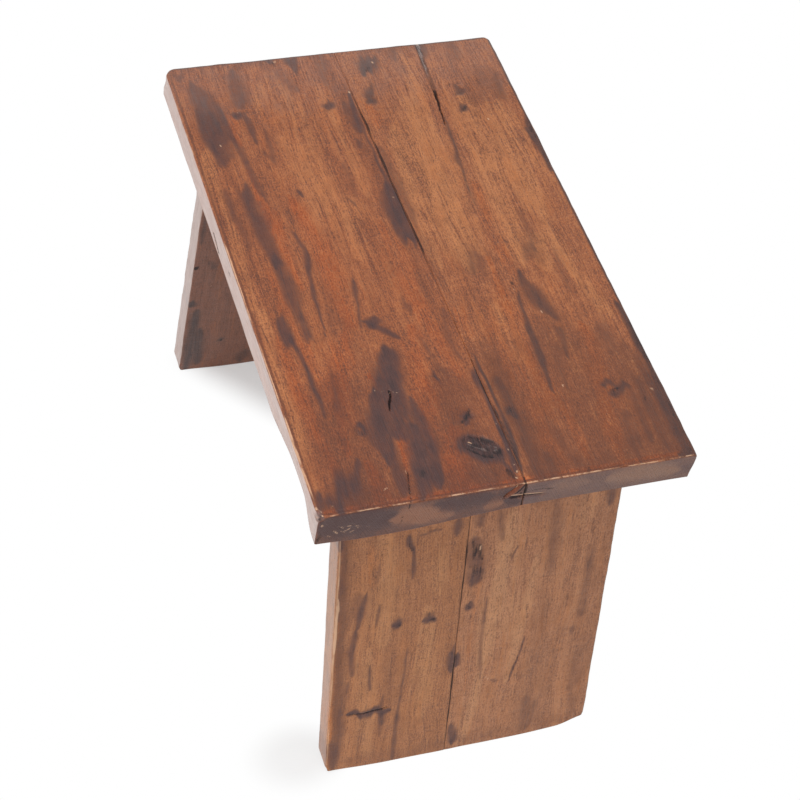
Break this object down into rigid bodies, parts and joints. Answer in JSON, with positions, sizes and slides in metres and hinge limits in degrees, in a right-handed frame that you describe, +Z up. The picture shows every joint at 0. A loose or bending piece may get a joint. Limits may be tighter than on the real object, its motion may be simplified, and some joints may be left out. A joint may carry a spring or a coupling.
{
  "type": "footstool",
  "caption": "Low rustic footstool of stained hardwood: a thick rectangular board top nailed down on splayed slab legs.",
  "frame": {"origin": "on the floor, under the middle of the top", "axes": "+X along the top towards the right leg, +Y across the top from its front long side to its back one, +Z up"},
  "size_m": [0.42, 0.251, 0.31],
  "materials": {
    "top_wood": "red-brown stained old hardwood with a worn satin wax finish",
    "leg_wood": "brown stained old hardwood, satin, duller than the top",
    "dowel_wood": "bare pale hardwood",
    "nail_iron": "dark oxidised iron",
    "dark_filler": "dark matt wax filler"
  },
  "bodies": {
    "root": {"top_front_board": "top_wood", "top_back_board": "top_wood", "top_joint_dowels": "dowel_wood", "right_leg_front_board": "leg_wood", "right_leg_back_board": "leg_wood", "right_leg_joint_dowels": "dowel_wood", "left_leg_front_board": "leg_wood", "left_leg_back_board": "leg_wood", "left_leg_joint_dowels": "dowel_wood", "right_leg_nails": "nail_iron", "left_leg_nails": "nail_iron", "right_nail_fillings": "dark_filler", "left_nail_fillings": "dark_filler"}
  },
  "joints": []
}
